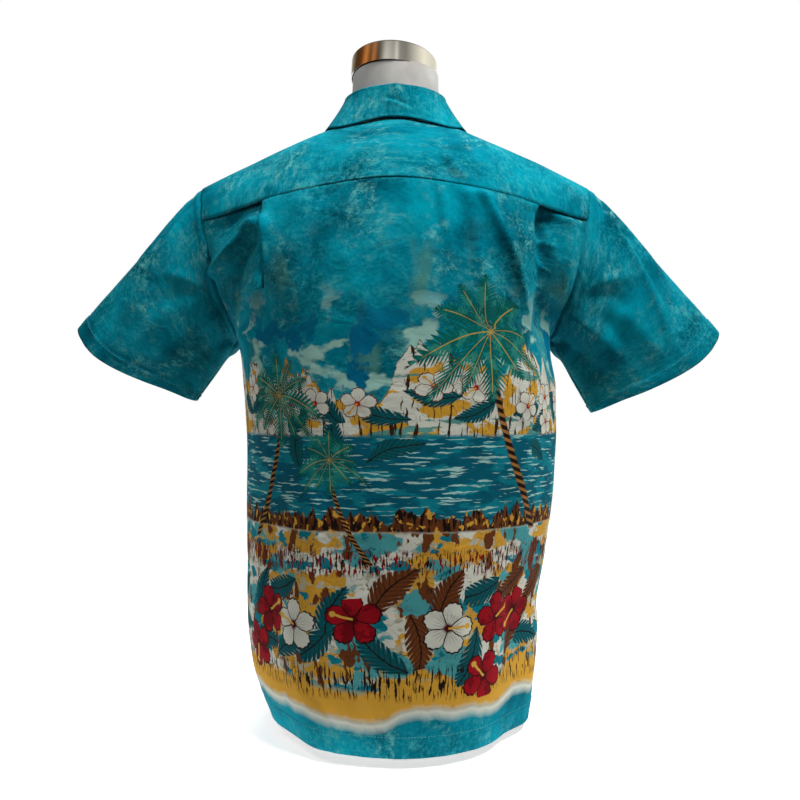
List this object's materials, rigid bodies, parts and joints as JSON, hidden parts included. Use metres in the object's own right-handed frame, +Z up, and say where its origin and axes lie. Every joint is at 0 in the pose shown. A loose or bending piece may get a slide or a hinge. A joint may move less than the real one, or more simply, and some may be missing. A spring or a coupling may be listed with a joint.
{
  "type": "hawaiian shirt on a limbless dress form",
  "caption": "Short-sleeved camp shirt with a yoke, knife pleats, convertible collar and buttoned front, worn by a limbless counter-top dress form with a metal neck cap.",
  "frame": {"origin": "middle of the surface that the dress form's flat base rests on, under the middle of the bounding box", "axes": "+Z up; the shirt's front faces -Y; +X is the wearer's left"},
  "size_m": [0.8216, 0.305, 0.832],
  "materials": {
    "printed_cotton": "printed plain-weave cotton, soft, slightly dry sheen",
    "buttons": "brown coconut-shell buttons, satin",
    "form_jersey": "pale knitted jersey over the form",
    "neck_cap": "satin brushed"
  },
  "bodies": {
    "root": {"back": "printed_cotton", "yoke": "printed_cotton", "front_left": "printed_cotton", "front_right": "printed_cotton", "lapel_left": "printed_cotton", "lapel_right": "printed_cotton", "collar": "printed_cotton", "sleeve_left": "printed_cotton", "sleeve_right": "printed_cotton", "button_1": "buttons", "button_2": "buttons", "button_3": "buttons", "button_4": "buttons", "button_5": "buttons", "form_torso": "form_jersey", "form_cap": "neck_cap"}
  },
  "joints": []
}
